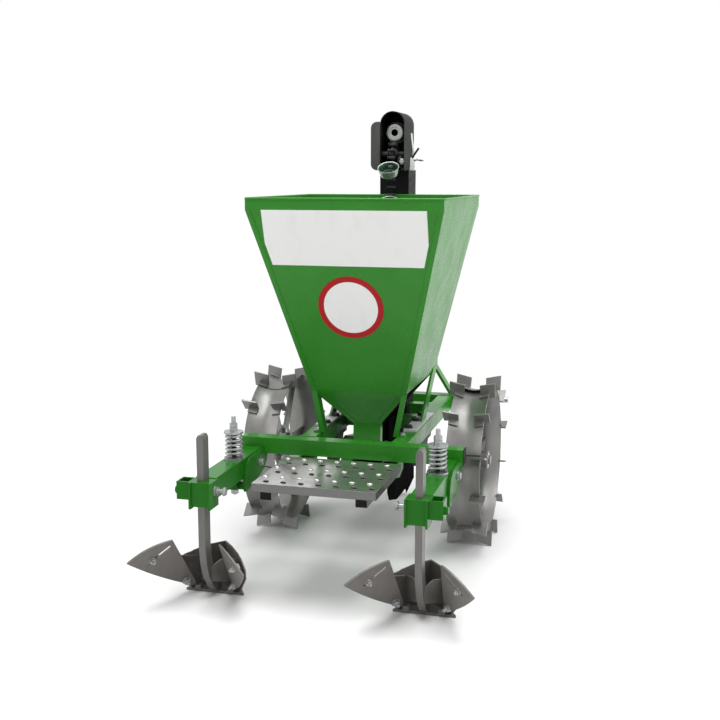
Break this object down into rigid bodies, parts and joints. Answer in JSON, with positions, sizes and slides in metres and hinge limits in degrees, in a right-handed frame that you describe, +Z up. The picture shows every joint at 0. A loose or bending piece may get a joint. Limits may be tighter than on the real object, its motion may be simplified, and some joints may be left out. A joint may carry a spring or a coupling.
{
  "type": "potato planter",
  "caption": "Tractor-mounted single-row potato planter: sheet hopper over a cup-chain elevator, lugged driving wheels on a live axle, rear ridgers on sprung arms and a step plate.",
  "frame": {"origin": "on the ground below the middle of the outline", "axes": "+Y is the direction of travel (hitch end), +X is the machine's right seen from behind, +Z is up"},
  "size_m": [0.9724, 1.5036, 1.422],
  "materials": {
    "green_paint": "gloss powder coat",
    "black_paint": "satin",
    "grey_steel": "grey metallic paint, worn",
    "plain_steel": "bright",
    "galvanised_steel": "zinc plated",
    "black_plastic": "matt",
    "grey_plastic": "matt"
  },
  "bodies": {
    "chassis": {"arm_bracket_left": "green_paint", "arm_bracket_right": "green_paint", "axle_bearing_left": "plain_steel", "axle_bearing_right": "plain_steel", "bearing_plates": "galvanised_steel", "chain_guide": "black_plastic", "cup_chain": "galvanised_steel", "drive_chain_guard": "green_paint", "drop_duct": "black_plastic", "elevator_brackets": "green_paint", "elevator_hood": "black_plastic", "front_toolbar": "green_paint", "funnel_left_panel": "black_paint", "funnel_rear_panel": "green_paint", "funnel_right_panel": "black_paint", "furrow_opener": "black_paint", "hitch_mast_left": "green_paint", "hitch_mast_right": "green_paint", "hitch_plate_left": "green_paint", "hitch_plate_right": "green_paint", "hood_cheeks": "grey_plastic", "hopper_front_leg_left": "green_paint", "hopper_front_leg_right": "green_paint", "hopper_front_panel": "green_paint", "hopper_left_panel": "green_paint", "hopper_rear_leg_left": "green_paint", "hopper_rear_leg_right": "green_paint", "hopper_rear_panel": "green_paint", "hopper_right_panel": "green_paint", "hopper_rim": "green_paint", "hopper_spout": "green_paint", "hopper_well": "black_paint", "lower_link_pin_left": "plain_steel", "lower_link_pin_right": "plain_steel", "lower_sprocket": "galvanised_steel", "pressure_springs": "galvanised_steel", "rail_left": "green_paint", "rail_right": "green_paint", "rear_toolbar": "green_paint", "ridger_arm_left": "green_paint", "ridger_arm_right": "green_paint", "ridger_body_left": "grey_steel", "ridger_body_right": "grey_steel", "ridger_wings_left": "grey_steel", "ridger_wings_right": "grey_steel", "spring_rods": "galvanised_steel", "step_gussets": "green_paint", "step_plate": "grey_steel", "step_tubes": "grey_steel", "tine_clamp_left": "green_paint", "tine_clamp_right": "green_paint", "tine_left": "grey_steel", "tine_right": "grey_steel", "top_sprocket": "galvanised_steel"},
    "wheelset": {"axle": "grey_steel", "wheel_rim_left": "grey_steel", "wheel_rim_right": "grey_steel", "wheel_spider_left": "grey_steel", "wheel_spider_right": "grey_steel"}
  },
  "joints": [
    {"name": "axle_spin", "type": "hinge", "parent": "chassis", "child": "wheelset", "pos_m": [0, 0.15875, 0.27413], "axis": [1, 0, 0], "continuous": true}
  ]
}
